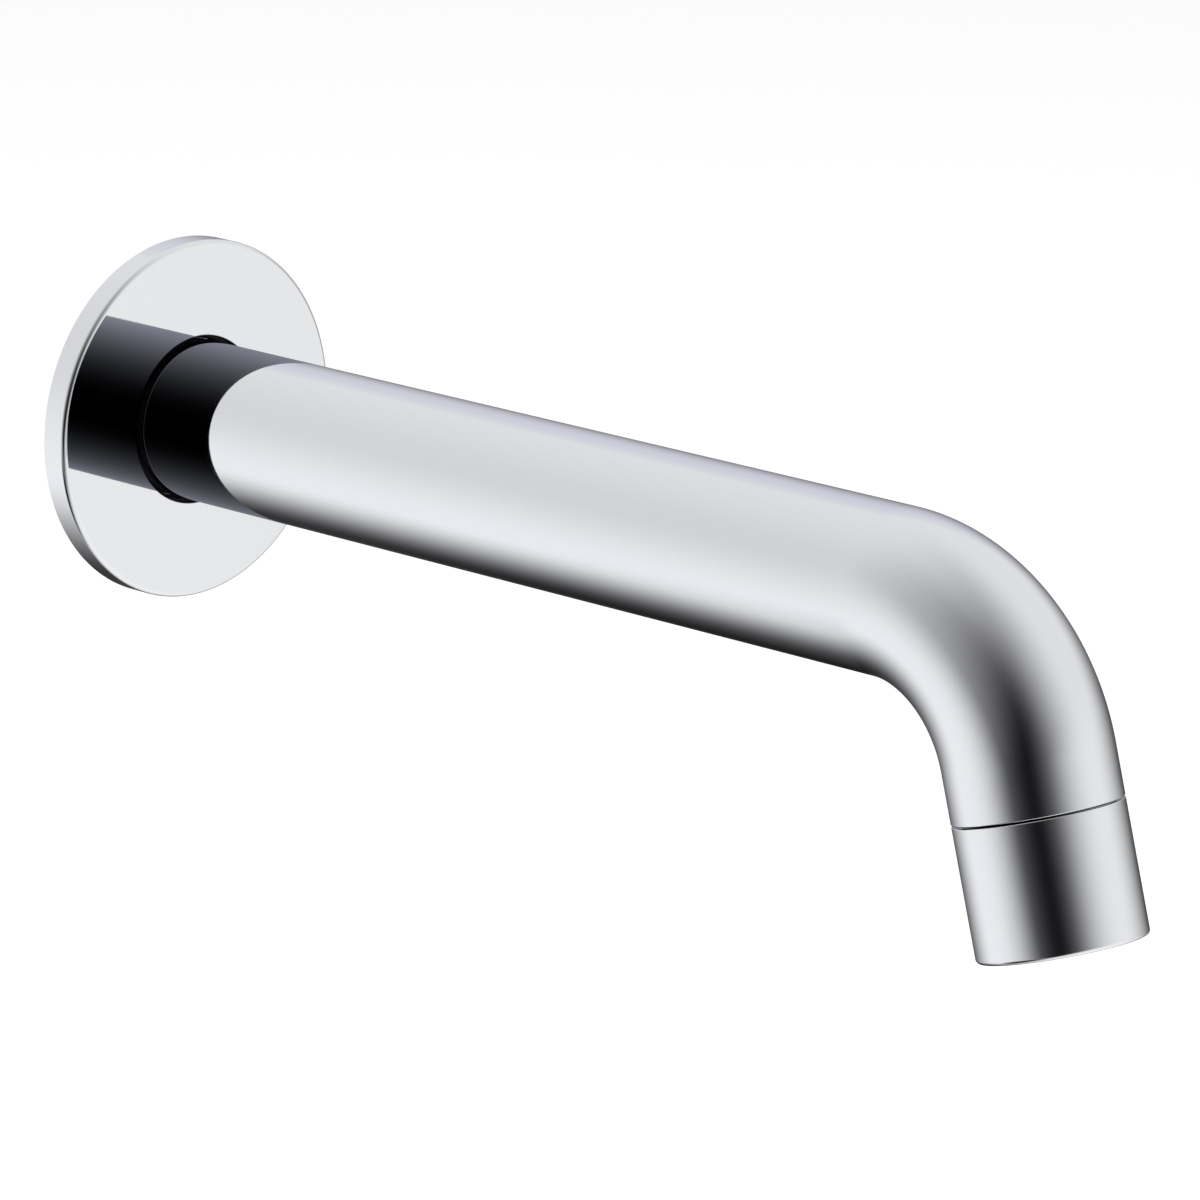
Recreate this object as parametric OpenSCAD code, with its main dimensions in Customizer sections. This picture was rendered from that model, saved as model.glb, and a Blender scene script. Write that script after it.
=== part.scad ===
// Round wall spout: a bent tube on a threaded spigot, with a cover plate and an aerator.
// The wall is the plane y = 0, the spout stands out along -Y and +Z is up.
// The origin is where the tube's axis meets the wall.

/* [Tube] */
// Outside diameter of the tube and of the outlet collar
tube_d = 32; // [31:0.5:40]
// Wall of the tube
tube_wall = 1.5; // [1:0.1:2]
// From the wall to the start of the bend
straight_l = 191.5; // [120:0.5:260]
// Radius of the bend's centreline
bend_r = 34; // [28:0.5:60]
// Angle of the bend
bend_angle = 74; // [60:1:90]
// Straight length between the bend and the seam, on the outlet socket
end_l = 9.7; // [6:0.1:30]
// From the wall to the tube's rear end
tube_set_back = 1; // [0.5:0.1:1.5]

/* [Cover plate] */
// Diameter of the cover plate
plate_d = 72.5; // [66:0.5:90]
// From the wall to the plate's flat face
plate_t = 5.8; // [5.6:0.1:9]
// Wall behind the plate's flat face
plate_web = 2; // [1.5:0.1:2.5]
// Wall of the plate's rim
plate_rim_w = 4; // [3.5:0.1:6]
// Wall of the hub outside its groove
hub_w = 1.6; // [1:0.1:3]
// Rounding of the rim's front edge
plate_edge_r = 1; // [0.3:0.1:1.4]
// Clearance between the plate's bore and the tube
plate_gap = 1; // [0.2:0.1:1.2]
// Cord of the ring between the hub and the tube, as squeezed
plate_o_ring_d = 2; // [1.6:0.1:2]
// Width of the seal in the back of the rim
wall_seal_w = 2; // [1.5:0.1:2.2]
// Depth of the seal in the back of the rim
wall_seal_t = 1.2; // [0.8:0.1:2]

/* [Spigot] */
// Outside diameter of the G1/2 pipe thread
thread_d = 20.955; // [16:0.001:26.441]
// Length of the thread behind the wall
thread_l = 14; // [10:0.5:20]
// Diameter of the spigot inside the socket
spigot_d = 22; // [21:0.5:23]
// From the wall to the spigot's front end
spigot_l = 33; // [31:0.5:50]
// Diameter of the water way through the spigot
spigot_bore_d = 12; // [8:0.5:12]
// Across the flats of the hexagon for the key
key_af = 12; // [10:1:12]
// Depth of the hexagon
key_depth = 14; // [8:0.5:18]
// Cord of the spigot's two rings, as squeezed
spigot_o_ring_d = 1.8; // [1.4:0.1:2]
// From the spigot's front end back to the middle of the front ring
front_ring_back = 6.5; // [5:0.5:7]
// Between the middles of the two rings
ring_step = 6.5; // [5:0.5:8]
// From the end of the socket to the end of the spigot
socket_past = 3; // [1:0.5:6]

/* [Grub screw] */
// Thread diameter of the grub screw
grub_d = 5; // [4:0.5:6]
// Across the flats of its hexagon
grub_key_af = 2.5; // [2:0.5:2.5]
// Depth of its hexagon
grub_key_depth = 2; // [1:0.1:2.5]
// From the wall to the grub screw's axis
grub_at = 11.5; // [10.5:0.5:13]
// How far the screw's head lies below the tube's surface
grub_sunk = 0.6; // [0.3:0.1:1]
// Depth of the groove that the screw's tip locks in
grub_groove = 1; // [0.5:0.1:1.4]

/* [Outlet socket] */
// Diameter of the outlet thread
outlet_thread_d = 28; // [26:0.5:28]
// Length of the outlet thread
outlet_thread_l = 8; // [6:0.5:9]
// Length of the socket's register inside the tube
register_l = 3; // [2:0.5:4]
// Clearance of the register in the bent end of the tube
register_gap = 0.4; // [0.3:0.1:0.8]
// Bore of the outlet socket
outlet_bore_d = 23; // [19:0.5:23]
// Cord of the ring in the seam, as squeezed
collar_o_ring_d = 1.1; // [0.8:0.1:1.2]
// From the seam to the middle of that ring
collar_ring_at = 1.9; // [1.7:0.1:2.5]

/* [Collar] */
// From the seam to the lip of the collar
collar_l = 25.5; // [24:0.5:34]
// Width of the seam between tube and collar
seam = 0.35; // [0.2:0.05:0.6]
// Rounding of the edges at the seam
seam_edge_r = 0.2; // [0.1:0.05:0.3]
// Rounding of the lip's outer edge
lip_r = 0.8; // [0.4:0.1:1.2]
// Diameter of the mouth in the lip
mouth_d = 24.6; // [23:0.1:24.6]
// Height of the lip that holds the cartridge
lip_h = 3.3; // [2:0.1:5]

/* [Cartridge] */
// Wall of the cartridge's shell
shell_w = 1.3; // [1:0.1:1.4]
// Thickness of the rubber washer
washer_t = 1.6; // [1.2:0.1:2]
// Thickness of the filter's wall
filter_t = 0.7; // [0.5:0.1:0.8]
// Height of the filter above its rim
filter_h = 4.5; // [3:0.1:6]
// Holes along the filter's flat top, from the middle to its edge
filter_rows = 4; // [2:1:5]
// Diameter of a filter hole
filter_hole_d = 1; // [0.8:0.1:1.2]
// Thickness of the jet disc
jet_t = 1.8; // [1.2:0.1:2.2]
// Number of jets in the outer circle
jet_count = 24; // [12:1:30]
// Diameter of a jet
jet_d = 0.9; // [0.7:0.1:1.2]
// Thickness of a wire screen
screen_t = 0.35; // [0.3:0.05:0.5]
// Side of a hole in a wire screen
screen_hole = 1.5; // [1.4:0.1:1.6]
// Height of the ring between the screens
spacer_h = 1; // [0.8:0.1:1.4]
// Height of the outlet grid's ring
grid_h = 4; // [3.6:0.1:4.5]
// Depth of the honeycomb
comb_h = 2.6; // [1.5:0.1:3]
// Across the flats of a honeycomb cell
cell_af = 2; // [1.8:0.1:2.4]
// Wall between two honeycomb cells
cell_wall = 0.4; // [0.3:0.05:0.6]
// Height of the lip that holds the grid in the shell
shell_lip_h = 0.8; // [0.6:0.1:1]
// Width of the lip that holds the grid in the shell
shell_lip_w = 0.9; // [0.6:0.1:1.1]

/* [Hidden] */
$fn = 96;

// Clearances
braze_gap = 0.05;
slide_gap = 0.1;
seal_gap = 0.02;
stack_gap = 0.02;
groove_side = 0.3;
braze_film = 0.01;
past = 1;

// Radii of the tube and the cover plate
tube_r = tube_d / 2;
tube_ir = tube_r - tube_wall;
plate_r = plate_d / 2;
plate_bore_r = tube_r + plate_gap;
hub_groove_r = tube_r + plate_o_ring_d + 2 * seal_gap;
hub_groove_w = plate_o_ring_d + 2 * groove_side;
hub_groove_at = plate_t - plate_web - hub_groove_w / 2;
hub_r = hub_groove_r + hub_w;
rim_ir = plate_r - plate_rim_w;
wall_seal_r = plate_r - plate_rim_w / 2;

// The spigot and its socket
spigot_r = spigot_d / 2;
socket_r = spigot_r + slide_gap;
socket_l = spigot_l + socket_past - tube_set_back;
socket_lead = 1;
ring_seat_r = socket_r - spigot_o_ring_d - 2 * seal_gap;
ring_seat_w = spigot_o_ring_d + 2 * groove_side;
front_ring_at = spigot_l - front_ring_back;
rear_ring_at = front_ring_at - ring_step;
spigot_chamfer = 0.8;
grub_tip_r = spigot_r - grub_groove;

// The outlet, measured along the flow from the seam
outlet_thread_r = outlet_thread_d / 2;
collar_thread_r = outlet_thread_r + slide_gap;
register_r = tube_ir - register_gap;
outlet_bore_r = outlet_bore_d / 2;
collar_seat_r = collar_thread_r - collar_o_ring_d - 2 * seal_gap;
collar_seat_w = collar_o_ring_d + 2 * groove_side;
chamber_step = 0.4;
chamber_r = collar_thread_r - chamber_step;
thread_relief = 0.3;
thread_end = outlet_thread_l + thread_relief;
lip_z = collar_l - lip_h;

// The cartridge, from the washer down to the collar's lip
shell_r = chamber_r - slide_gap;
shell_ir = shell_r - shell_w;
insert_r = shell_ir - braze_gap;
insert_w = 0.9;
washer_z = outlet_thread_l + stack_gap;
filter_z = washer_z + washer_t + stack_gap;
jet_z = filter_z + filter_t + stack_gap;
flange_w = 0.6;
flange_r = shell_ir + flange_w - braze_gap;
flange_t = 0.9;
filter_clear = 1;
filter_slope = 20;
shell_top = filter_z;
shell_end = lip_z - stack_gap;
grid_end = shell_end - shell_lip_h;
comb_r = insert_r - insert_w;
grid_z = grid_end - grid_h;
lower_screen_z = grid_z - stack_gap - screen_t;
spacer_z = lower_screen_z - stack_gap - spacer_h;
upper_screen_z = spacer_z - stack_gap - screen_t;
jet_skirt_end = upper_screen_z - stack_gap;

// A turned ring along +Z
module ring(outer_r, inner_r, height) {
    difference() {
        cylinder(h = height, r = outer_r);
        translate([0, 0, -past]) cylinder(h = height + 2 * past, r = inner_r);
    }
}

// A rubber ring of round cord that lies round the Z axis
module o_ring(middle_r, cord) {
    rotate_extrude() translate([middle_r, 0]) circle(d = cord, $fn = 48);
}

// A round rod's section with one rounded corner, from the axis out to its edge
module rounded_section(outer_r, height, edge_r) {
    square([outer_r - edge_r, height]);
    square([outer_r, height - edge_r]);
    translate([outer_r - edge_r, height - edge_r]) circle(r = edge_r, $fn = 48);
}

// Places its children with +Z pointing out of the wall
module from_wall() {
    rotate([90, 0, 0]) children();
}

// Places its children with z = 0 at the seam and +Z along the flow
module from_seam() {
    translate([0, -straight_l - bend_r * sin(bend_angle), bend_r * (cos(bend_angle) - 1)])
        rotate([90 + bend_angle, 0, 0])
            translate([0, 0, end_l])
                children();
}

// Places its children with +Z along the bend's axis and the bend starting on +X towards +Y
module from_bend() {
    translate([0, -straight_l, -bend_r]) rotate([180, -90, 0]) children();
}

// The hole for the grub screw, from the middle of the spigot down
module grub_hole() {
    translate([0, 0, grub_at]) rotate([90, 0, 0]) cylinder(h = tube_r + past, r = grub_d / 2 + slide_gap);
}

module cover_plate() {
    color("#dfe2e3") from_wall() difference() {
        rotate_extrude() rounded_section(plate_r, plate_t, plate_edge_r);
        translate([0, 0, -past]) cylinder(h = plate_t + 2 * past, r = plate_bore_r);
        translate([0, 0, -past]) ring(rim_ir, hub_r, plate_t - plate_web + past);
        translate([0, 0, hub_groove_at - hub_groove_w / 2]) cylinder(h = hub_groove_w, r = hub_groove_r);
        translate([0, 0, -past]) ring(
            wall_seal_r + wall_seal_w / 2 + seal_gap,
            wall_seal_r - wall_seal_w / 2 - seal_gap,
            wall_seal_t + seal_gap + past
        );
    }
}

module cover_plate_o_ring() {
    color("#202124") from_wall() translate([0, 0, hub_groove_at])
        o_ring(tube_r + seal_gap + plate_o_ring_d / 2, plate_o_ring_d);
}

module wall_seal() {
    color("#2b2c2f") from_wall()
        ring(wall_seal_r + wall_seal_w / 2, wall_seal_r - wall_seal_w / 2, wall_seal_t);
}

module spout_tube() {
    color("#d6d9da") difference() {
        from_bend() {
            rotate_extrude(angle = bend_angle) translate([bend_r, 0]) difference() {
                circle(r = tube_r);
                circle(r = tube_ir);
            }
            translate([bend_r, 0, 0]) rotate([90, 0, 0]) ring(tube_r, tube_ir, straight_l - tube_set_back);
        }
        from_wall() grub_hole();
    }
}

module rear_socket() {
    color("#c2a14d") from_wall() difference() {
        translate([0, 0, tube_set_back]) ring(tube_ir - braze_gap, socket_r, socket_l);
        translate([0, 0, tube_set_back])
            cylinder(h = socket_lead, r1 = socket_r + socket_lead, r2 = socket_r);
        grub_hole();
    }
}

module mounting_spigot() {
    color("#c9a955") from_wall() difference() {
        union() {
            translate([0, 0, -thread_l]) cylinder(h = thread_l + past, r = thread_d / 2);
            cylinder(h = spigot_l - spigot_chamfer, r = spigot_r);
            translate([0, 0, spigot_l - spigot_chamfer])
                cylinder(h = spigot_chamfer, r1 = spigot_r, r2 = spigot_r - spigot_chamfer);
        }
        translate([0, 0, -thread_l - past]) cylinder(h = thread_l + spigot_l + 2 * past, d = spigot_bore_d);
        translate([0, 0, spigot_l - key_depth])
            cylinder(h = key_depth + past, r = key_af / 2 / cos(30), $fn = 6);
        for (at = [rear_ring_at, front_ring_at])
            translate([0, 0, at - ring_seat_w / 2]) ring(spigot_r + past, ring_seat_r, ring_seat_w);
        translate([0, 0, grub_at - grub_d / 2]) ring(spigot_r + past, grub_tip_r, grub_d);
    }
}

module spigot_o_ring(at) {
    color("#202124") from_wall() translate([0, 0, at])
        o_ring(socket_r - seal_gap - spigot_o_ring_d / 2, spigot_o_ring_d);
}

module spigot_o_ring_rear() {
    spigot_o_ring(rear_ring_at);
}

module spigot_o_ring_front() {
    spigot_o_ring(front_ring_at);
}

module grub_screw() {
    head_r = tube_r - grub_sunk;
    color("#6d7175") from_wall() translate([0, -head_r, grub_at]) rotate([-90, 0, 0]) difference() {
        cylinder(h = head_r - grub_tip_r - seal_gap, d = grub_d);
        translate([0, 0, -past]) cylinder(h = grub_key_depth + past, r = grub_key_af / 2 / cos(30), $fn = 6);
    }
}

module outlet_socket() {
    color("#d6d9da") from_seam() difference() {
        union() {
            translate([0, 0, -end_l - register_l]) cylinder(h = register_l + past, r = register_r);
            translate([0, 0, -end_l + braze_film]) rotate_extrude()
                rounded_section(tube_r, end_l - braze_film, seam_edge_r);
            translate([0, 0, -past]) cylinder(h = outlet_thread_l + past, r = outlet_thread_r);
        }
        translate([0, 0, -end_l - register_l - past])
            cylinder(h = end_l + register_l + outlet_thread_l + 2 * past, r = outlet_bore_r);
        translate([0, 0, collar_ring_at - collar_seat_w / 2])
            ring(outlet_thread_r + past, collar_seat_r, collar_seat_w);
    }
}

module collar_o_ring() {
    color("#202124") from_seam() translate([0, 0, collar_ring_at])
        o_ring(collar_thread_r - seal_gap - collar_o_ring_d / 2, collar_o_ring_d);
}

module aerator_collar() {
    color("#d6d9da") from_seam() difference() {
        translate([0, 0, seam]) rotate_extrude() rounded_section(tube_r, collar_l - seam, lip_r);
        cylinder(h = thread_end, r = collar_thread_r);
        cylinder(h = lip_z, r = chamber_r);
        cylinder(h = collar_l + past, d = mouth_d);
    }
}

module aerator_washer() {
    color("#303134") from_seam() translate([0, 0, washer_z]) ring(shell_r, outlet_bore_r, washer_t);
}

module aerator_filter() {
    dome_r = outlet_bore_r - filter_clear;
    top_r = dome_r - filter_h * tan(filter_slope);
    pitch = top_r / (filter_rows + 0.5);
    color("#a0a8ad") from_seam() translate([0, 0, filter_z + filter_t]) mirror([0, 0, 1]) difference() {
        union() {
            cylinder(h = filter_t, r = flange_r);
            cylinder(h = filter_h, r1 = dome_r, r2 = top_r);
        }
        translate([0, 0, -past]) cylinder(
            h = filter_h - filter_t + past,
            r1 = dome_r - filter_t + past * tan(filter_slope),
            r2 = top_r - filter_t
        );
        for (row = [0:filter_rows - 1])
            for (i = [0:max(1, 6 * row) - 1])
                rotate(i * 60 / max(1, row))
                    translate([row * pitch, 0, filter_h - filter_t - past])
                        cylinder(h = filter_t + 2 * past, d = filter_hole_d, $fn = 24);
    }
}

module aerator_jet_disc() {
    outer_jets_in = 1.5;
    inner_jets_in = 4;
    color("#e9e9e6") from_seam() difference() {
        union() {
            translate([0, 0, jet_z]) cylinder(h = flange_t, r = flange_r);
            translate([0, 0, jet_z]) cylinder(h = jet_skirt_end - jet_z, r = insert_r);
        }
        translate([0, 0, jet_z + jet_t]) cylinder(h = jet_skirt_end - jet_z, r = comb_r);
        for (i = [0:jet_count - 1])
            rotate(i * 360 / jet_count)
                translate([comb_r - outer_jets_in, 0, jet_z - past])
                    cylinder(h = jet_t + 2 * past, d = jet_d, $fn = 24);
        for (i = [0:jet_count / 2 - 1])
            rotate(i * 720 / jet_count)
                translate([comb_r - inner_jets_in, 0, jet_z - past])
                    cylinder(h = jet_t + 2 * past, d = jet_d, $fn = 24);
    }
}

module aerator_body() {
    color("#e4e4df") from_seam() difference() {
        translate([0, 0, shell_top]) cylinder(h = shell_end - shell_top, r = shell_r);
        translate([0, 0, shell_top - past])
            cylinder(h = jet_z + flange_t + stack_gap - shell_top + past, r = shell_ir + flange_w);
        translate([0, 0, shell_top]) cylinder(h = grid_end + stack_gap - shell_top, r = shell_ir);
        translate([0, 0, shell_top]) cylinder(h = shell_end - shell_top + past, r = shell_ir - shell_lip_w);
    }
}

// A square-holed disc that stands for woven wire
module wire_screen(z) {
    wire = 0.4;
    step = screen_hole + wire;
    reach = floor((comb_r - screen_hole / 2) / step);
    color("#b8bcbe") from_seam() translate([0, 0, z]) difference() {
        cylinder(h = screen_t, r = insert_r);
        for (ix = [-reach:reach])
            for (iy = [-reach:reach])
                if (norm([abs(ix) * step + screen_hole / 2, abs(iy) * step + screen_hole / 2]) < comb_r)
                    translate([ix * step - screen_hole / 2, iy * step - screen_hole / 2, -past])
                        cube([screen_hole, screen_hole, screen_t + 2 * past]);
    }
}

module aerator_screen_upper() {
    wire_screen(upper_screen_z);
}

module aerator_screen_lower() {
    wire_screen(lower_screen_z);
}

module screen_spacer() {
    color("#e9e9e6") from_seam() translate([0, 0, spacer_z]) ring(insert_r, comb_r, spacer_h);
}

module aerator_outlet_grid() {
    step = cell_af + cell_wall;
    cell_r = cell_af / 2 / cos(30);
    rows = floor(comb_r / step);
    color("#dadad5") from_seam() translate([0, 0, grid_z]) difference() {
        cylinder(h = grid_h, r = insert_r);
        translate([0, 0, -past]) cylinder(h = grid_h - comb_h + past, r = comb_r);
        for (iy = [-rows:rows])
            for (ix = [-rows:rows]) {
                x = (ix + (iy % 2 == 0 ? 0 : 0.5)) * step;
                y = iy * step * sin(60);
                if (norm([x, y]) + cell_r < comb_r)
                    translate([x, y, 0]) rotate(30) cylinder(h = grid_h + past, r = cell_r, $fn = 6);
            }
    }
}

cover_plate();
cover_plate_o_ring();
wall_seal();
spout_tube();
rear_socket();
mounting_spigot();
spigot_o_ring_rear();
spigot_o_ring_front();
grub_screw();
outlet_socket();
collar_o_ring();
aerator_collar();
aerator_washer();
aerator_filter();
aerator_jet_disc();
aerator_body();
aerator_screen_upper();
screen_spacer();
aerator_screen_lower();
aerator_outlet_grid();
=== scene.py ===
# %% [markdown]
# # A round wall spout
# The part is a chromed bath spout: a bent tube that stands out of a thin cover plate on the wall
# and ends in a screwed collar with an aerator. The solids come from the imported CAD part, in
# metres, with the wall at y = 0, the spout along -Y and +Z up. This file gives every solid its
# real finish, and models again the ones whose threads, rounded edges and fine walls the solids
# leave plain. Sizes are written in millimetres, as on the drawing, and made metres at the end.

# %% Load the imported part
import math

import bmesh
import bpy
from mathutils import Matrix, Vector


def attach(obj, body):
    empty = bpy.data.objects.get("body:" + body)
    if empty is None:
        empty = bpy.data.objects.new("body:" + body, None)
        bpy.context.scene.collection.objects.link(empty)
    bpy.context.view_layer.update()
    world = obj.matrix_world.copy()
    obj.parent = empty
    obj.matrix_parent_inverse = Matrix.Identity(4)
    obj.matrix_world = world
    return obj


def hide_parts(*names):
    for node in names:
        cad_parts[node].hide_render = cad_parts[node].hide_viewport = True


MM = 0.001
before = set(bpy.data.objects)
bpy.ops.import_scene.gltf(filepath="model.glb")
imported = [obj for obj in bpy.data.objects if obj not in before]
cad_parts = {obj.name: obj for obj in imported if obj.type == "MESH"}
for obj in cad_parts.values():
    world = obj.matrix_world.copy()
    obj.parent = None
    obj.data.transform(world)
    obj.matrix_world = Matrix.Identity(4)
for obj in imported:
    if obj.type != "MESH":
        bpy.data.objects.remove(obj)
scene = bpy.context.scene
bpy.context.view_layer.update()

# %% [markdown]
# ## One helper for nodes and one for colour
# A material is a small tree of nodes. Adding a node, giving it its settings and linking its
# sockets is the same step each time, so one function does it: settings are the node's own
# properties, and sockets takes numbers, colours or another node's output. Blender reckons with
# light as it adds up, and a hex value is how a screen stores it, so one function turns hex into
# Blender's linear numbers.

# %% Helpers for nodes and colour
MIX_A, MIX_B, MIX_OUT = 6, 7, 2  # a Mix node's colour sockets share their names with others


def add_node(tree, kind, sockets=None, **settings):
    node = tree.nodes.new(kind)
    for name, value in settings.items():
        setattr(node, name, value)
    for name, value in (sockets or {}).items():
        if isinstance(value, bpy.types.NodeSocket):
            tree.links.new(value, node.inputs[name])
        else:
            node.inputs[name].default_value = value
    return node


def linear(hex_value):
    channels = [int(hex_value[i:i + 2], 16) / 255 for i in (1, 3, 5)]
    return [c / 12.92 if c <= 0.04045 else ((c + 0.055) / 1.055) ** 2.4 for c in channels] + [1.0]


def new_tree(name):
    material = bpy.data.materials.new(name)
    material.use_nodes = True
    material.node_tree.nodes.clear()
    return material, material.node_tree


print("white is", linear("#FFFFFF"), "and mid grey is", [round(c, 3) for c in linear("#808080")])

# %% [markdown]
# ## Chrome plate
# The visible metal is brass that was buffed, then plated with nickel and a thin layer of bright
# chromium. The eye sees almost nothing of the metal itself, only the room in it. So the colour is
# a light, slightly cool grey, the roughness is very low, and the only detail is what buffing
# leaves: hazy patches some centimetres wide, and waves of a few micrometres.

# %% Chrome plate
def chrome_plate():
    material, tree = new_tree("bright chrome plate on buffed brass")
    place = add_node(tree, "ShaderNodeTexCoord").outputs["Object"]
    haze = add_node(tree, "ShaderNodeTexNoise", {"Vector": place, "Scale": 55.0, "Detail": 3.0})
    roughness = add_node(tree, "ShaderNodeMapRange", {
        "Value": haze.outputs["Fac"], "From Min": 0.35, "From Max": 0.7, "To Min": 0.02, "To Max": 0.045})
    waves = add_node(tree, "ShaderNodeTexNoise", {"Vector": place, "Scale": 90.0, "Detail": 1.0})
    bump = add_node(tree, "ShaderNodeBump", {
        "Height": waves.outputs["Fac"], "Strength": 0.05, "Distance": 0.00004})
    shader = add_node(tree, "ShaderNodeBsdfPrincipled", {
        "Base Color": linear("#ECEDEF"), "Metallic": 1.0,
        "Roughness": roughness.outputs["Result"], "Normal": bump.outputs["Normal"]})
    add_node(tree, "ShaderNodeOutputMaterial", {"Surface": shader.outputs["BSDF"]})
    return material


CHROME = chrome_plate()
print("made", CHROME.name)

# %% [markdown]
# ## Bare turned brass
# The spigot and the brazed socket are left as they come off the lathe. The tool leaves fine rings
# round the axis, about 0.15 mm apart, on the cylinders and on the end faces alike. Distance from
# the axis plus distance along it gives one number that steps through both, and a one-dimensional
# noise of that number draws the rings. Handling leaves the yellow a little darker in patches.

# %% Bare turned brass
RING_STEP = 0.15 * MM


def turned_brass():
    material, tree = new_tree("bare free-cutting brass, turned")
    place = add_node(tree, "ShaderNodeTexCoord").outputs["Object"]
    split = add_node(tree, "ShaderNodeSeparateXYZ", {"Vector": place})
    across = add_node(tree, "ShaderNodeVectorMath", {0: place, 1: (1.0, 0.0, 1.0)}, operation="MULTIPLY")
    radius = add_node(tree, "ShaderNodeVectorMath", {0: across.outputs["Vector"]}, operation="LENGTH")
    along = add_node(tree, "ShaderNodeMath", {
        0: radius.outputs["Value"], 1: split.outputs["Y"]}, operation="SUBTRACT")
    rings = add_node(tree, "ShaderNodeTexNoise", {
        "W": along.outputs["Value"], "Scale": 1 / RING_STEP, "Detail": 2.0}, noise_dimensions="1D")
    patches = add_node(tree, "ShaderNodeTexNoise", {"Vector": place, "Scale": 140.0, "Detail": 4.0})
    colour = add_node(tree, "ShaderNodeMix", {
        0: patches.outputs["Fac"], MIX_A: linear("#D2AE62"), MIX_B: linear("#B48C46")}, data_type="RGBA")
    roughness = add_node(tree, "ShaderNodeMapRange", {
        "Value": patches.outputs["Fac"], "To Min": 0.24, "To Max": 0.4})
    bump = add_node(tree, "ShaderNodeBump", {
        "Height": rings.outputs["Fac"], "Strength": 0.35, "Distance": 0.00003})
    shader = add_node(tree, "ShaderNodeBsdfPrincipled", {
        "Base Color": colour.outputs[MIX_OUT], "Metallic": 1.0,
        "Roughness": roughness.outputs["Result"], "Normal": bump.outputs["Normal"]})
    add_node(tree, "ShaderNodeOutputMaterial", {"Surface": shader.outputs["BSDF"]})
    return material


BRASS = turned_brass()
print("made", BRASS.name, "with rings", RING_STEP / MM, "mm apart")

# %% [markdown]
# ## Stainless steel, rubber and moulded plastic
# The grub screw and the two screens are drawn stainless steel: grey, soft in gloss, with fine
# marks. The seals are EPDM, a black rubber whose mould leaves it matt with a slight grain. The
# aerator is POM, a waxy white plastic that is a little glossy and lets light into its edges.
# All four are a colour that varies a little, a roughness and a fine bump, so one function takes
# those values, and what differs is written where each material is made.

# %% Stainless steel, rubber and moulded plastic
def grained(name, light, dark, grain, depth, rough, metallic=0.0, waxy=0.0):
    material, tree = new_tree(name)
    place = add_node(tree, "ShaderNodeTexCoord").outputs["Object"]
    fine = add_node(tree, "ShaderNodeTexNoise", {"Vector": place, "Scale": 1 / grain, "Detail": 3.0})
    broad = add_node(tree, "ShaderNodeTexNoise", {"Vector": place, "Scale": 120.0, "Detail": 2.0})
    colour = add_node(tree, "ShaderNodeMix", {
        0: broad.outputs["Fac"], MIX_A: linear(light), MIX_B: linear(dark)}, data_type="RGBA")
    roughness = add_node(tree, "ShaderNodeMapRange", {
        "Value": fine.outputs["Fac"], "To Min": rough - 0.08, "To Max": rough + 0.08})
    bump = add_node(tree, "ShaderNodeBump", {
        "Height": fine.outputs["Fac"], "Strength": 0.4, "Distance": depth})
    shader = add_node(tree, "ShaderNodeBsdfPrincipled", {
        "Base Color": colour.outputs[MIX_OUT], "Metallic": metallic, "Subsurface Weight": waxy,
        "Subsurface Scale": 0.0008, "Roughness": roughness.outputs["Result"],
        "Normal": bump.outputs["Normal"]})
    add_node(tree, "ShaderNodeOutputMaterial", {"Surface": shader.outputs["BSDF"]})
    return material


STEEL = grained("stainless steel, drawn", "#BFC1C2", "#A3A6A8", 0.12 * MM, 0.000008, 0.3, metallic=1.0)
RUBBER = grained("EPDM rubber, moulded", "#26262A", "#1A1A1C", 0.25 * MM, 0.00002, 0.62)
WHITE_POM = grained("natural POM, moulded", "#E6E5DE", "#DCDBD2", 0.3 * MM, 0.00001, 0.38, waxy=0.25)
GREY_POM = grained("grey POM, moulded", "#A9B1B6", "#979FA5", 0.3 * MM, 0.00001, 0.4, waxy=0.15)
print("made", STEEL.name, "/", RUBBER.name, "/", WHITE_POM.name, "/", GREY_POM.name)

# %% [markdown]
# ## Where pieces are drawn
# Most of this spout comes off a lathe, so it is easiest to draw each piece upright round the Z
# axis and then lay it down. Pieces at the wall are drawn with z as the distance out of the wall,
# and pieces at the outlet with z as the distance along the flow from the seam.

# %% Sizes of the tube and the two drawing places
TUBE_R, TUBE_IN_R, STRAIGHT = 16.0, 14.5, 191.5
BEND_R, BEND_ANGLE, END = 34.0, math.radians(74.0), 9.7

FROM_WALL = Matrix.Rotation(math.radians(90.0), 4, "X")
BEND_END = Vector((0.0, -STRAIGHT - BEND_R * math.sin(BEND_ANGLE), BEND_R * (math.cos(BEND_ANGLE) - 1.0)))
FROM_SEAM = (Matrix.Translation(BEND_END) @ Matrix.Rotation(math.radians(90.0) + BEND_ANGLE, 4, "X")
             @ Matrix.Translation((0.0, 0.0, END)))
print("seam at", [round(c, 2) for c in FROM_SEAM.translation], "mm")

# %% [markdown]
# ## The lathe
# A turned piece is its section swept once round the axis. The section is a ring of corners, each
# with its radius, its height and how far the edge there is rounded. Bevelling the corners while
# they are still a wire gives true arcs, and spinning the wire gives the surface. A mirror shows
# every fault in a normal, so the finished piece takes its normals from its large faces: flats
# stay flat right up to their rounded edges.

# %% The lathe and the last steps of every new piece
SPIN_STEPS = 144


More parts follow.
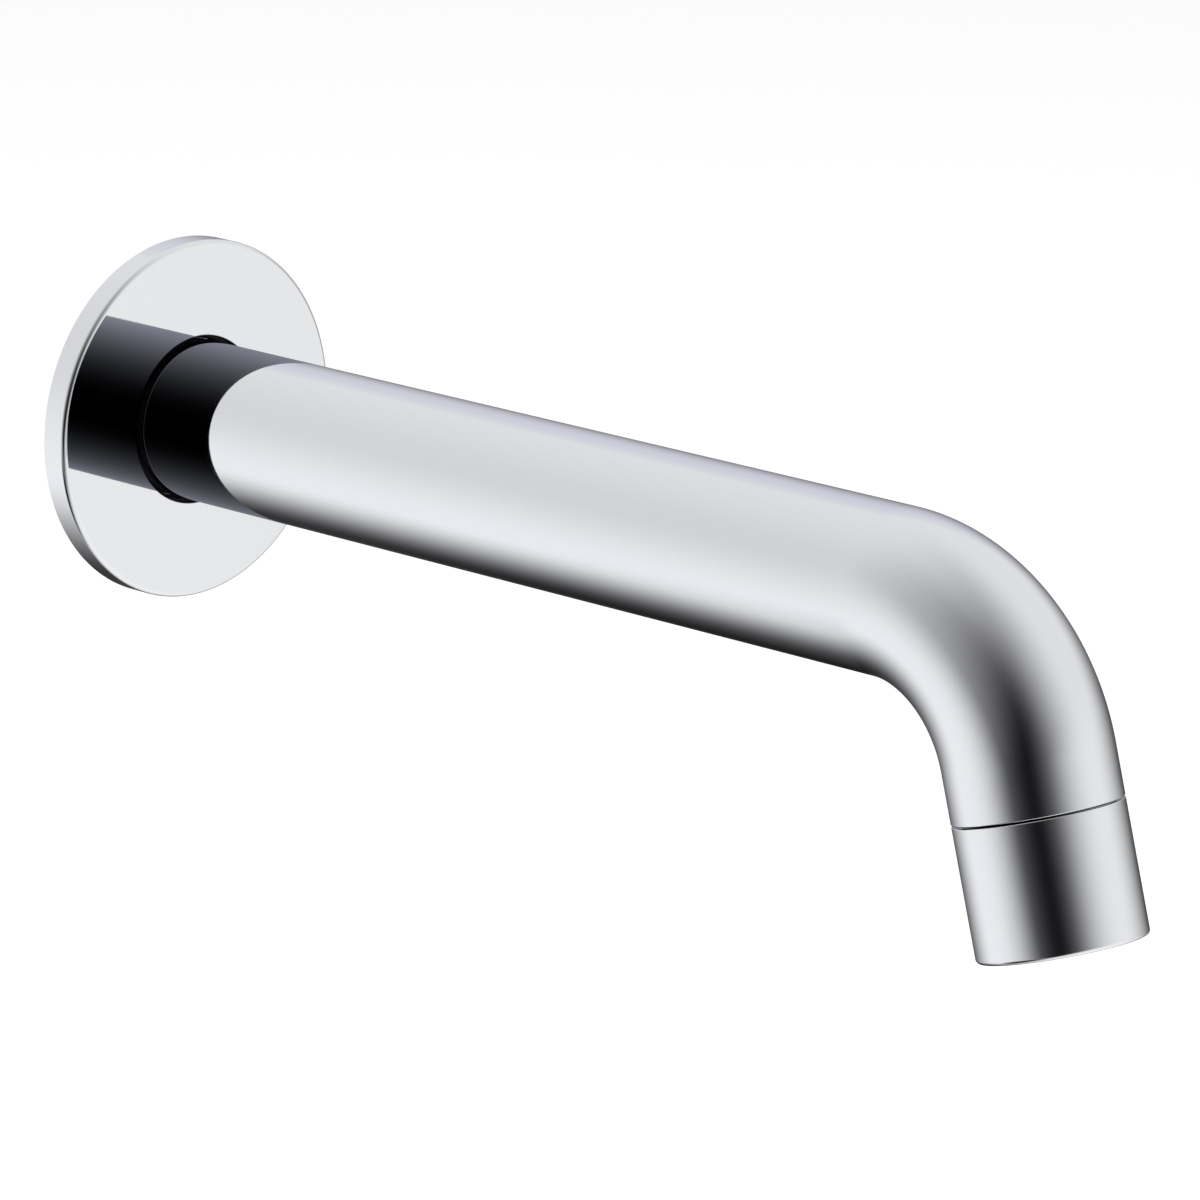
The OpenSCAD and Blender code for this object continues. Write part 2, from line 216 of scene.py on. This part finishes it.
def drawn_section(section, closed=True):
    bm = bmesh.new()
    corners = [bm.verts.new((r, 0.0, z)) for r, z, _ in section]
    for a, b in zip(corners, corners[1:] + corners[:1] if closed else corners[1:]):
        bm.edges.new((a, b))
    for rounding in sorted({r for _, _, r in section if r}):
        bmesh.ops.bevel(
            bm, geom=[v for v, (_, _, r) in zip(corners, section) if r == rounding], offset=rounding,
            offset_type="OFFSET", affect="VERTICES", segments=8, profile=0.5, material=-1)
    return bm


def spin_round(bm, steps=SPIN_STEPS):
    bmesh.ops.spin(
        bm, geom=bm.verts[:] + bm.edges[:], cent=(0.0, 0.0, 0.0), axis=(0.0, 0.0, 1.0),
        dvec=(0.0, 0.0, 0.0), angle=2 * math.pi, steps=steps, use_merge=True, use_duplicate=False)
    bmesh.ops.remove_doubles(bm, verts=bm.verts, dist=0.0005)
    return bm


def finished(name, bm, place, material, slot, *nodes):
    bmesh.ops.remove_doubles(bm, verts=bm.verts, dist=0.0005)
    bmesh.ops.recalc_face_normals(bm, faces=bm.faces)
    bmesh.ops.transform(bm, matrix=Matrix.Scale(MM, 4) @ place, verts=bm.verts)
    open_edges = sum(not edge.is_manifold for edge in bm.edges)
    mesh = bpy.data.meshes.new(name)
    bm.to_mesh(mesh)
    bm.free()
    mesh.shade_smooth()
    mesh.set_sharp_from_angle(angle=math.radians(32.0))
    mesh.materials.append(material)
    piece = bpy.data.objects.new(name, mesh)
    scene.collection.objects.link(piece)
    even = piece.modifiers.new("even normals", "WEIGHTED_NORMAL")
    even.keep_sharp = True
    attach(piece, "root")
    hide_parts(*nodes)
    print(name, "has", len(mesh.polygons), "faces and", open_edges, "open edges")
    return piece


print("lathe ready,", SPIN_STEPS, "steps to a turn")

# %% [markdown]
# ## The cover plate
# The plate is a thin brass turning. Its face is a flat mirror, its front edge is rounded 1 mm,
# and the bore stands 1 mm clear of the tube, which is the dark ring that shows there. The back is
# hollow, with a rim that meets the wall, a groove for the seal, and a hub with a groove for the
# rubber ring that grips the tube. It comes off the lathe in one section.

# %% Cover plate and its wall seal
PLATE_R, PLATE_T, PLATE_BORE = 36.25, 5.8, 17.0
HUB_R, HUB_GROOVE_R, RIM_IN, WEB_BACK = 19.64, 18.04, 32.25, 3.8
SEAL_IN, SEAL_OUT, SEAL_T = 33.25, 35.25, 1.2

plate = spin_round(drawn_section([
    (PLATE_BORE, PLATE_T, 0.2), (PLATE_R, PLATE_T, 1.0), (PLATE_R, 0.0, 0.2),
    (SEAL_OUT + 0.02, 0.0, 0.1), (SEAL_OUT + 0.02, SEAL_T + 0.02, 0), (SEAL_IN - 0.02, SEAL_T + 0.02, 0),
    (SEAL_IN - 0.02, 0.0, 0.1), (RIM_IN, 0.0, 0.2), (RIM_IN, WEB_BACK, 0.3), (HUB_R, WEB_BACK, 0.3),
    (HUB_R, 0.0, 0.2), (PLATE_BORE, 0.0, 0.2), (PLATE_BORE, 1.2, 0.1), (HUB_GROOVE_R, 1.2, 0),
    (HUB_GROOVE_R, WEB_BACK, 0), (PLATE_BORE, WEB_BACK, 0.1)]))
finished("cover_plate_turned", plate, FROM_WALL, CHROME, "chrome_plate", "cover_plate")

seal = spin_round(drawn_section([
    (SEAL_IN, 0.0, 0.1), (SEAL_OUT, 0.0, 0.1), (SEAL_OUT, SEAL_T, 0.3), (SEAL_IN, SEAL_T, 0.3)]))
finished("wall_seal_moulded", seal, FROM_WALL, RUBBER, "rubber", "wall_seal")

# %% [markdown]
# ## The bent tube
# The tube is drawn brass pipe, bent on a mandrel. Its skin starts as a circle at the wall, is
# extruded straight, spun round the middle of the bend and stops where the outlet socket is
# brazed on. The inside is the same with a smaller circle, and both ends are bridged shut. A long
# straight mirror shows the smallest tilt in a normal, so the corners' normals are set from the
# centreline itself instead of being averaged.

# %% Bent tube
GRUB_AT, GRUB_HOLE_R = 11.5, 2.6
BEND_STEPS = 72


def pushed_out(bm, edges, distance):
    grown = bmesh.ops.extrude_edge_only(bm, edges=edges)["geom"]
    verts = [g for g in grown if isinstance(g, bmesh.types.BMVert)]
    bmesh.ops.translate(bm, verts=verts, vec=(0.0, 0.0, distance))
    ends = set(verts)
    return [g for g in grown if isinstance(g, bmesh.types.BMEdge) and ends.issuperset(g.verts)]


def pipe_skin(bm, radius):
    before = set(bm.edges)
    bmesh.ops.create_circle(bm, segments=SPIN_STEPS, radius=radius, matrix=Matrix.Translation((0, 0, 1)))
    first = last = [e for e in bm.edges if e not in before]
    for length in (6.0, 9.0, STRAIGHT - 16.0):
        last = pushed_out(bm, last, length)
    verts = list({v for e in last for v in e.verts})
    bent = bmesh.ops.spin(
        bm, geom=verts + last, cent=(0.0, -BEND_R, STRAIGHT), axis=(1.0, 0.0, 0.0),
        dvec=(0.0, 0.0, 0.0), angle=BEND_ANGLE, steps=BEND_STEPS, use_merge=False, use_duplicate=False)
    return first, [g for g in bent["geom_last"] if isinstance(g, bmesh.types.BMEdge)]


def away_from_centreline(point):
    """The unit vector from the tube's centreline to a point in millimetres, in the part's frame."""
    centre = Vector((0.0, point.y, 0.0))
    if point.y < -STRAIGHT:
        hub = Vector((0.0, -STRAIGHT, -BEND_R))
        centre = hub + Vector((0.0, point.y - hub.y, point.z - hub.z)).normalized() * BEND_R
    return (point - centre).normalized()


def drilled(piece, bm_cutter):
    """Cuts a hole in a piece with a solid that isn't kept."""
    mesh = bpy.data.meshes.new("drill")
    bm_cutter.to_mesh(mesh)
    bm_cutter.free()
    cutter = bpy.data.objects.new("drill", mesh)
    scene.collection.objects.link(cutter)
    cut = piece.modifiers.new("drill", "BOOLEAN")
    cut.operation, cut.solver, cut.object = "DIFFERENCE", "EXACT", cutter
    piece.modifiers.move(len(piece.modifiers) - 1, 0)
    normals = piece.modifiers["even normals"]
    normals.show_viewport = normals.show_render = False
    shape = piece.evaluated_get(bpy.context.evaluated_depsgraph_get())
    piece.data = bpy.data.meshes.new_from_object(shape)
    piece.modifiers.remove(piece.modifiers["drill"])
    normals.show_viewport = normals.show_render = True
    bpy.data.objects.remove(cutter)
    piece.data.set_sharp_from_angle(angle=math.radians(32.0))
    print("drilled", piece.name, "which has", len(piece.data.polygons), "faces")


def grub_drill():
    """A rod from the tube's axis down through its underside, in metres."""
    bm = bmesh.new()
    bmesh.ops.create_cone(
        bm, cap_ends=True, cap_tris=False, segments=48, radius1=GRUB_HOLE_R * MM, radius2=GRUB_HOLE_R * MM,
        depth=(TUBE_R + 1.0) * MM, matrix=Matrix.Translation((0, -GRUB_AT * MM, -(TUBE_R + 1.0) / 2 * MM)))
    return bm


pipe = bmesh.new()
outer_first, outer_last = pipe_skin(pipe, TUBE_R)
inner_first, inner_last = pipe_skin(pipe, TUBE_IN_R)
bmesh.ops.bridge_loops(pipe, edges=outer_first + inner_first)
bmesh.ops.bridge_loops(pipe, edges=outer_last + inner_last)
tube = finished("spout_tube_polished", pipe, FROM_WALL, CHROME, "chrome_plate", "spout_tube")
drilled(tube, grub_drill())

tube.modifiers.clear()
corner_normals = []
for face in tube.data.polygons:
    for loop in face.loop_indices:
        out = away_from_centreline(tube.data.vertices[tube.data.loops[loop].vertex_index].co / MM)
        side = face.normal.dot(out)
        corner_normals.append(out * math.copysign(1.0, side) if abs(side) > 0.9 else face.normal)
tube.data.normals_split_custom_set(corner_normals)

# %% [markdown]
# ## Threads and key sockets
# A thread could be a helix spun with a step, but then its ends don't close. Here the lathe leaves
# a plain cylinder with many rings of vertices, and each vertex is moved in by how deep the helix
# is there. A cosine is close to the rounded form of a pipe thread, and the cut fades out over the
# first and last half turn. A key socket is made the same way: a round bore has its vertices
# moved out to a hexagon.

# %% Threads and key sockets
def fine_rings(bm, radius, start, end, rings):
    """Divides the section's line at this radius, so that a thread can be cut there."""
    line = [e for e in bm.edges if all(
        abs(v.co.x - radius) < 0.01 and start - 0.5 < v.co.z < end + 0.5 for v in e.verts)
        and e.calc_length() > 0.7 * (end - start)]
    bmesh.ops.subdivide_edges(bm, edges=line, cuts=rings)


def cut_thread(bm, radius, start, end, pitch, depth):
    for v in bm.verts:
        if abs(math.hypot(v.co.x, v.co.y) - radius) < 0.01 and start < v.co.z < end:
            turn = v.co.z / pitch - math.atan2(v.co.y, v.co.x) / (2 * math.pi)
            fade = min(1.0, (v.co.z - start) / (0.5 * pitch), (end - v.co.z) / (0.5 * pitch))
            cut = depth * (1.0 - fade * (0.5 + 0.5 * math.cos(2 * math.pi * turn)))
            v.co.xy *= (radius - cut) / radius


def cut_key(bm, radius, start, end, across_flats):
    for v in bm.verts:
        if abs(math.hypot(v.co.x, v.co.y) - radius) < 0.01 and start - 0.01 < v.co.z < end + 0.01:
            corner = math.radians(60.0)
            angle = math.atan2(v.co.y, v.co.x) % corner - corner / 2
            v.co.xy *= across_flats / 2 / math.cos(angle) / radius


print("thread and key cutters ready")

# %% [markdown]
# ## The spigot, its socket and the grub screw
# The spigot screws into the wall with a G1/2 thread, 1.814 mm to a turn, and carries the tube. It
# has a hexagon inside for the key, two grooves for rubber rings and one for the grub screw's tip.
# The socket is brazed into the tube and slides over it. The grub screw comes up through the
# tube's underside and locks the two.

# %% Spigot, rear socket and grub screw
THREAD_R, THREAD_L, SPIGOT_R, SPIGOT_L, WATER_R = 10.4775, 14.0, 11.0, 33.0, 6.0
RING_SEAT_R, RING_SEAT_W, RING_SEATS = 9.26, 2.4, (20.0, 26.5)
GRUB_GROOVE_R, GRUB_R, KEY_FLOOR = 10.0, 2.5, 19.0

section = [
    (WATER_R, -THREAD_L, 0.3), (THREAD_R - 1.162, -THREAD_L, 0.2), (THREAD_R, -THREAD_L + 0.8, 0),
    (THREAD_R, -1.6, 0), (9.1, -1.3, 0.2), (9.1, 0.0, 0.2), (SPIGOT_R, 0.0, 0.2),
    (SPIGOT_R, GRUB_AT - GRUB_R, 0.1), (GRUB_GROOVE_R, GRUB_AT - GRUB_R, 0),
    (GRUB_GROOVE_R, GRUB_AT + GRUB_R, 0), (SPIGOT_R, GRUB_AT + GRUB_R, 0.1)]
for seat in RING_SEATS:
    low, high = seat - RING_SEAT_W / 2, seat + RING_SEAT_W / 2
    section += [
        (SPIGOT_R, low, 0.1), (RING_SEAT_R, low, 0.2), (RING_SEAT_R, high, 0.2), (SPIGOT_R, high, 0.1)]
section += [
    (SPIGOT_R, SPIGOT_L - 0.8, 0), (SPIGOT_R - 0.8, SPIGOT_L, 0), (WATER_R + 1.0, SPIGOT_L, 0),
    (WATER_R, SPIGOT_L, 0), (WATER_R, KEY_FLOOR, 0), (WATER_R - 0.02, KEY_FLOOR - 0.3, 0)]
spigot = drawn_section(section)
fine_rings(spigot, THREAD_R, -THREAD_L + 0.8, -1.6, 120)
spin_round(spigot)
cut_thread(spigot, THREAD_R, -THREAD_L + 0.8, -1.6, 1.814, 1.162)
cut_key(spigot, WATER_R, KEY_FLOOR, SPIGOT_L, 2 * WATER_R)
finished("mounting_spigot_turned", spigot, FROM_WALL, BRASS, "bare_brass", "mounting_spigot")

SOCKET_R, SOCKET_OUT, SOCKET_END = 11.1, 14.45, 36.0
socket = spin_round(drawn_section([
    (SOCKET_R + 1.0, 1.0, 0.1), (SOCKET_OUT, 1.0, 0.2), (SOCKET_OUT, SOCKET_END, 0.2),
    (SOCKET_R, SOCKET_END, 0.2), (SOCKET_R, 2.0, 0)]))
rear_socket = finished("rear_socket_turned", socket, FROM_WALL, BRASS, "bare_brass", "rear_socket")
drilled(rear_socket, grub_drill())

GRUB_HEAD, GRUB_LENGTH, GRUB_KEY = 15.4, 5.38, 2.5
FROM_GRUB_HEAD = Matrix.Translation((0.0, -GRUB_AT, -GRUB_HEAD))
grub = drawn_section([
    (0.0, 2.0, 0), (GRUB_KEY / 2, 2.0, 0), (GRUB_KEY / 2, 0.0, 0), (GRUB_R - 0.45, 0.0, 0.05),
    (GRUB_R, 0.45, 0), (GRUB_R, GRUB_LENGTH - 0.6, 0), (GRUB_R - 0.6, GRUB_LENGTH, 0.05),
    (1.2, GRUB_LENGTH, 0), (0.0, GRUB_LENGTH - 0.8, 0)], closed=False)
fine_rings(grub, GRUB_R, 0.45, GRUB_LENGTH - 0.6, 60)
spin_round(grub, 72)
cut_thread(grub, GRUB_R, 0.45, GRUB_LENGTH - 0.6, 0.8, 0.49)
cut_key(grub, GRUB_KEY / 2, 0.0, 2.0, GRUB_KEY)
finished("grub_screw_hexagon", grub, FROM_GRUB_HEAD, STEEL, "stainless_steel", "grub_screw")

# %% [markdown]
# ## The outlet socket and the collar
# The socket is brazed on the end of the bend and carries on its line for the last 9.7 mm, down
# to the fine dark seam. Below the seam it has a groove for a rubber ring and an M28 thread with
# 1 mm to a turn. The collar screws over that. It is as wide as the tube, so that the seam is all
# that shows, and its lip is turned in to hold the aerator.

# %% Outlet socket and collar
SOCKET_BORE, REGISTER_R, REGISTER_L, OUT_THREAD_R, OUT_THREAD_L = 11.5, 14.1, 3.0, 14.0, 8.0
socket = drawn_section([
    (SOCKET_BORE, -END - REGISTER_L, 0.3), (REGISTER_R, -END - REGISTER_L, 0.3), (REGISTER_R, -END, 0),
    (TUBE_R, -END, 0), (TUBE_R, 0.0, 0.2), (OUT_THREAD_R, 0.0, 0.1), (OUT_THREAD_R, 1.05, 0.1),
    (12.96, 1.05, 0.1), (12.96, 2.75, 0.1), (OUT_THREAD_R, 2.75, 0.05), (OUT_THREAD_R, 3.0, 0),
    (OUT_THREAD_R, OUT_THREAD_L - 0.6, 0), (OUT_THREAD_R - 0.6, OUT_THREAD_L, 0),
    (SOCKET_BORE, OUT_THREAD_L, 0.2)])
fine_rings(socket, OUT_THREAD_R, 3.0, OUT_THREAD_L - 0.6, 52)
spin_round(socket)
cut_thread(socket, OUT_THREAD_R, 3.0, OUT_THREAD_L - 0.6, 1.0, 0.6)
finished("outlet_socket_polished", socket, FROM_SEAM, CHROME, "chrome_plate", "outlet_socket")

SEAM, COLLAR_L, LIP_Z, MOUTH_R, COLLAR_THREAD_R, CHAMBER_R = 0.35, 25.5, 22.2, 12.3, 14.1, 13.7
collar = spin_round(drawn_section([
    (COLLAR_THREAD_R, SEAM, 0.3), (TUBE_R, SEAM, 0.2), (TUBE_R, COLLAR_L, 0.8), (MOUTH_R, COLLAR_L, 0.3),
    (MOUTH_R, LIP_Z, 0), (CHAMBER_R, LIP_Z, 0), (CHAMBER_R, OUT_THREAD_L + 0.3, 0),
    (COLLAR_THREAD_R, OUT_THREAD_L + 0.3, 0)]))
finished("aerator_collar_polished", collar, FROM_SEAM, CHROME, "chrome_plate", "aerator_collar")

# %% [markdown]
# ## The aerator
# The aerator is a small plastic cartridge: a strainer, a disc of jets, two fine wire screens and
# a honeycomb that lets the water out straight. Only the shell's edge and the honeycomb show, deep
# in the mouth. The honeycomb's walls are 0.4 mm thick, with a small lead-in at each cell: each
# cell's hexagon is extruded twice, and the flat faces are filled round all the hexagons at once.

# %% Aerator shell and honeycomb
SHELL_R, SHELL_IN, SHELL_TOP, SHELL_END = 13.6, 12.3, 9.64, 22.18
shell = spin_round(drawn_section([
    (SHELL_IN + 0.6, SHELL_TOP, 0.1), (SHELL_R, SHELL_TOP, 0.2), (SHELL_R, SHELL_END, 0.2),
    (11.4, SHELL_END, 0.25), (11.4, 21.4, 0), (SHELL_IN, 21.4, 0), (SHELL_IN, 11.28, 0),
    (SHELL_IN + 0.6, 11.28, 0)]))
finished("aerator_body_moulded", shell, FROM_SEAM, WHITE_POM, "insert_plastic", "aerator_body")

INSERT_R, COMB_R, GRID_TOP, COMB_TOP, GRID_END = 12.25, 11.35, 17.38, 18.78, 21.38
CELL, CELL_WALL, LEAD_IN = 2.0, 0.4, 0.12
cell_r, step = CELL / 2 / math.cos(math.radians(30.0)), CELL + CELL_WALL
rows = int(COMB_R / step)
grid = bmesh.new()
mouth_edges, top_edges = [], []
for row in range(-rows, rows + 1):
    for column in range(-rows, rows + 1):
        middle = Vector((
            (column + 0.5 * (row % 2)) * step, row * step * math.sin(math.radians(60.0)), GRID_END))
        if math.hypot(middle.x, middle.y) + cell_r < COMB_R:
            wide = cell_r * (1 + LEAD_IN)
            before = set(grid.edges)
            bmesh.ops.create_circle(grid, segments=6, radius=wide, matrix=Matrix.Translation(middle))
            rim = [e for e in grid.edges if e not in before]
            inner = pushed_out(grid, rim, -LEAD_IN)
            verts = list({v for e in inner for v in e.verts})
            bmesh.ops.scale(grid, verts=verts, vec=(cell_r / wide, cell_r / wide, 1.0),
                            space=Matrix.Translation(-middle))
            mouth_edges += rim
            top_edges += pushed_out(grid, inner, COMB_TOP - GRID_END + LEAD_IN)
cells = len(mouth_edges) // 6
before = set(grid.edges)
bmesh.ops.create_circle(grid, segments=96, radius=INSERT_R, matrix=Matrix.Translation((0, 0, GRID_END)))
outer = [e for e in grid.edges if e not in before]
outer_top = pushed_out(grid, outer, GRID_TOP - GRID_END)
before = set(grid.edges)
bmesh.ops.create_circle(grid, segments=96, radius=COMB_R, matrix=Matrix.Translation((0, 0, GRID_TOP)))
inner_rim = [e for e in grid.edges if e not in before]
inner_foot = pushed_out(grid, inner_rim, COMB_TOP - GRID_TOP)
bmesh.ops.bridge_loops(grid, edges=outer_top + inner_rim)
bmesh.ops.triangle_fill(grid, use_beauty=True, use_dissolve=False, edges=outer + mouth_edges)
bmesh.ops.triangle_fill(grid, use_beauty=True, use_dissolve=False, edges=inner_foot + top_edges)
print("honeycomb cells:", cells)
finished("aerator_outlet_grid_moulded", grid, FROM_SEAM, WHITE_POM, "insert_plastic", "aerator_outlet_grid")

# %% [markdown]
# ## The wire screens
# Each screen is a disc of woven stainless wire, which breaks the jets up and draws in air. A wire
# is a rod cut into short lengths, whose vertices rise and fall along a cosine, over one crossing
# wire and under the next. The two directions swing opposite ways, so the wires pass clear.

# %% Wire screens
WIRE, WIRE_STEP = 0.16, 1.0


def woven_screen(name, height, node):
    bm = bmesh.new()
    reach = INSERT_R - 0.1
    swing = WIRE / 2 + 0.005
    count = int(reach / WIRE_STEP)
    for quarter in (0, 1):
        for row in range(-count, count + 1):
            length = 2 * math.sqrt(reach ** 2 - (row * WIRE_STEP) ** 2)
            lie_down = (Matrix.Translation((0, row * WIRE_STEP, 0))
                        @ Matrix.Rotation(math.radians(90.0), 4, "Y"))
            before = set(bm.verts)
            rod = bmesh.ops.create_cone(
                bm, cap_ends=True, cap_tris=False, segments=6, radius1=WIRE / 2, radius2=WIRE / 2,
                depth=length, matrix=lie_down)["verts"]
            lines = [e for e in {e for v in rod for e in v.link_edges} if e.calc_length() > length - 0.01]
            bmesh.ops.subdivide_edges(bm, edges=lines, cuts=max(3, round(3 * length)))
            wire = [v for v in bm.verts if v not in before]
            for v in wire:
                v.co.z += swing * math.cos(math.pi * (v.co.x / WIRE_STEP + row + quarter))
            turned = Matrix.Rotation(quarter * math.pi / 2, 3, "Z")
            bmesh.ops.rotate(bm, verts=wire, cent=(0, 0, 0), matrix=turned)
    bmesh.ops.translate(bm, verts=bm.verts, vec=(0.0, 0.0, height))
    return finished(name, bm, FROM_SEAM, STEEL, "stainless_steel", node)


woven_screen("aerator_screen_upper_woven", 15.795, "aerator_screen_upper")
woven_screen("aerator_screen_lower_woven", 17.185, "aerator_screen_lower")

# %% [markdown]
# ## The solids that stay as they are
# The rubber rings, the washer, the strainer, the jet disc and the spacer are hidden inside, and
# their solids already have the right shape. They only need what they are made of.

# %% Finishes of the solids that stay
kept = {
    "cover_plate_o_ring": RUBBER, "spigot_o_ring_rear": RUBBER, "spigot_o_ring_front": RUBBER,
    "collar_o_ring": RUBBER, "aerator_washer": RUBBER, "aerator_filter": GREY_POM,
    "aerator_jet_disc": WHITE_POM, "screen_spacer": WHITE_POM}
for name, material in kept.items():
    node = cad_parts[name]
    node.data.materials.clear()
    node.data.materials.append(material)
print("kept", len(kept), "solids")

# %% [markdown]
# ## The room
# Chrome is a picture of its room, so the room is most of this render. Polished metal is shot in
# a tent of pale cloth with a few cards in it: a dark opening where the camera looks in, dark cards
# low down that draw the black line under the tube, and white ones that lift its sides. The world
# holds that tent for reflections only. Each card is a round patch with a soft edge, painted over
# the ones before it. Direct light and the camera see plain white cloth. A ray that has already
# met polished metal once sees the tent dimmed, from black on the left to grey on the right, which
# is what makes the tube and the plate black where they mirror each other.

# %% The tent in the world
# azimuth, elevation, radius of the full colour, radius where it has faded out, colour
CLOTH = "#E2E2E4"
CARDS = [
    (-15, -13, 39, 142, "#1B1B1D"),
    (45, 42, 0, 70, "#515153"),
    (93, 2, 52, 145, "#EEEEEF"),
    (133, 15, 0, 30, "#D9D9E5"),
    (-170, -50, 30, 92, "#FCFCFF"),
    (-99, -47, 12, 37, "#1B1B1D"),
    (110, -49, 20, 80, "#050506"),
    (30, -49, 5, 78, "#FFFFFF"),
]


def towards(azimuth, elevation):
    a, e = math.radians(azimuth), math.radians(elevation)
    return (math.sin(a) * math.cos(e), -math.cos(a) * math.cos(e), math.sin(e))


world = bpy.data.worlds.new("tent")
scene.world = world
world.use_nodes = True
tree = world.node_tree
tree.nodes.clear()
direction = add_node(tree, "ShaderNodeTexCoord").outputs["Generated"]
tent = None
for azimuth, elevation, full, gone, colour in CARDS:
    facing = add_node(tree, "ShaderNodeVectorMath", {0: direction, 1: towards(azimuth, elevation)},
                      operation="DOT_PRODUCT")
    patch = add_node(tree, "ShaderNodeMapRange", {
        "Value": facing.outputs["Value"], "From Min": math.cos(math.radians(gone)),
        "From Max": math.cos(math.radians(full))}, interpolation_type="SMOOTHSTEP")
    tent = add_node(tree, "ShaderNodeMix", {
        0: patch.outputs["Result"], MIX_A: tent or linear(CLOTH), MIX_B: linear(colour)},
        data_type="RGBA").outputs[MIX_OUT]
sideways = add_node(tree, "ShaderNodeSeparateXYZ", {"Vector": direction})
dimmed = add_node(tree, "ShaderNodeMapRange", {
    "Value": sideways.outputs["X"], "From Min": -0.7, "From Max": 0.7})
dimmed = add_node(tree, "ShaderNodeMath", {0: dimmed.outputs["Result"], 1: 2.0}, operation="POWER")
dimmed = add_node(tree, "ShaderNodeMix", {
    0: dimmed.outputs["Value"], MIX_A: linear("#000000"), MIX_B: linear("#8A8C96")}, data_type="RGBA")
path = add_node(tree, "ShaderNodeLightPath")
again = add_node(tree, "ShaderNodeMath", {0: path.outputs["Glossy Depth"], 1: 1.5}, operation="GREATER_THAN")
mirrored = add_node(tree, "ShaderNodeMix", {
    0: again.outputs["Value"], MIX_A: tent, MIX_B: dimmed.outputs[MIX_OUT]}, data_type="RGBA")
plain = add_node(tree, "ShaderNodeMix", {
    0: path.outputs["Is Camera Ray"], MIX_A: linear("#DDDDDD"), MIX_B: linear("#FFFFFF")}, data_type="RGBA")
seen = add_node(tree, "ShaderNodeMix", {
    0: path.outputs["Is Glossy Ray"], MIX_A: plain.outputs[MIX_OUT], MIX_B: mirrored.outputs[MIX_OUT]},
    data_type="RGBA")
glow = add_node(tree, "ShaderNodeBackground", {"Color": seen.outputs[MIX_OUT], "Strength": 1.0})
add_node(tree, "ShaderNodeOutputWorld", {"Surface": glow.outputs["Background"]})
print("tent with", len(CARDS), "cards")

# %% [markdown]
# ## Floor and lamp
# The floor is a pale sheet well below the spout. It takes the spout's soft shadow, and half of its
# white is its own for the camera, so that it meets the white background without a line. Polished
# metal looks through it to the tent, and it isn't there from below. One big soft lamp from the
# upper left gives the brass, rubber and plastic their shape. It isn't seen in reflections.

# %% Floor and lamp
FLOOR_Z = -0.26
bm = bmesh.new()
bmesh.ops.create_grid(bm, x_segments=1, y_segments=1, size=6.0, matrix=Matrix.Translation((0, 0, FLOOR_Z)))
mesh = bpy.data.meshes.new("floor")
bm.to_mesh(mesh)
bm.free()
floor = bpy.data.objects.new("floor", mesh)
scene.collection.objects.link(floor)

paper, tree = new_tree("matt white paper sheet")
path = add_node(tree, "ShaderNodeLightPath")
side = add_node(tree, "ShaderNodeNewGeometry")
sheet = add_node(tree, "ShaderNodeBsdfDiffuse", {"Color": linear("#BFBFBF")})
own = add_node(tree, "ShaderNodeEmission", {"Color": linear("#FFFFFF"), "Strength": 0.5})
shown = add_node(tree, "ShaderNodeAddShader", {0: sheet.outputs["BSDF"], 1: own.outputs["Emission"]})
either = add_node(tree, "ShaderNodeMixShader", {
    0: path.outputs["Is Camera Ray"], 1: sheet.outputs["BSDF"], 2: shown.outputs["Shader"]})
clear = add_node(tree, "ShaderNodeBsdfTransparent")
hidden = add_node(tree, "ShaderNodeMath", {
    0: path.outputs["Is Glossy Ray"], 1: side.outputs["Backfacing"]}, operation="MAXIMUM")
surface = add_node(tree, "ShaderNodeMixShader", {
    0: hidden.outputs["Value"], 1: either.outputs["Shader"], 2: clear.outputs["BSDF"]})
add_node(tree, "ShaderNodeOutputMaterial", {"Surface": surface.outputs["Shader"]})
floor.data.materials.append(paper)

lamp_data = bpy.data.lights.new("soft lamp", "AREA")
lamp_data.shape, lamp_data.size, lamp_data.energy = "DISK", 1.2, 65.0
lamp = bpy.data.objects.new("soft lamp", lamp_data)
lamp.location = (-1.0, -1.2, 1.6)
lamp.rotation_euler = (Vector((0.0, -0.12, 0.0)) - lamp.location).to_track_quat("-Z", "Y").to_euler()
lamp.visible_glossy = False
scene.collection.objects.link(lamp)
print("floor at", FLOOR_Z, "m, lamp of", lamp_data.energy, "W")

# %% [markdown]
# ## The camera
# The spout is seen from its left front and a little above, from 1.38 m away through a long lens,
# so that near and far keep almost the same size. The camera leans by one degree.

# %% Camera
EYE, AIM, LEAN = Vector((-0.9506, -1.0166, 0.3240)), Vector((0.0181, -0.1, -0.0224)), math.radians(1.05)
camera_data = bpy.data.cameras.new("camera")
camera_data.lens, camera_data.sensor_width = 213.5, 36.0
camera = bpy.data.objects.new("camera", camera_data)
ahead = (AIM - EYE).normalized()
right = ahead.cross(Vector((0, 0, 1))).normalized()
up = right.cross(ahead)
leaned_right = right * math.cos(LEAN) + up * math.sin(LEAN)
leaned_up = up * math.cos(LEAN) - right * math.sin(LEAN)
axes = Matrix((leaned_right, leaned_up, -ahead)).transposed()
camera.matrix_world = Matrix.Translation(EYE) @ axes.to_4x4()
camera_data.clip_start, camera_data.clip_end = 0.1, 50.0
scene.collection.objects.link(camera)
scene.camera = camera
scene.view_settings.view_transform = "Standard"
print("camera", round((AIM - EYE).length, 3), "m from the spout")
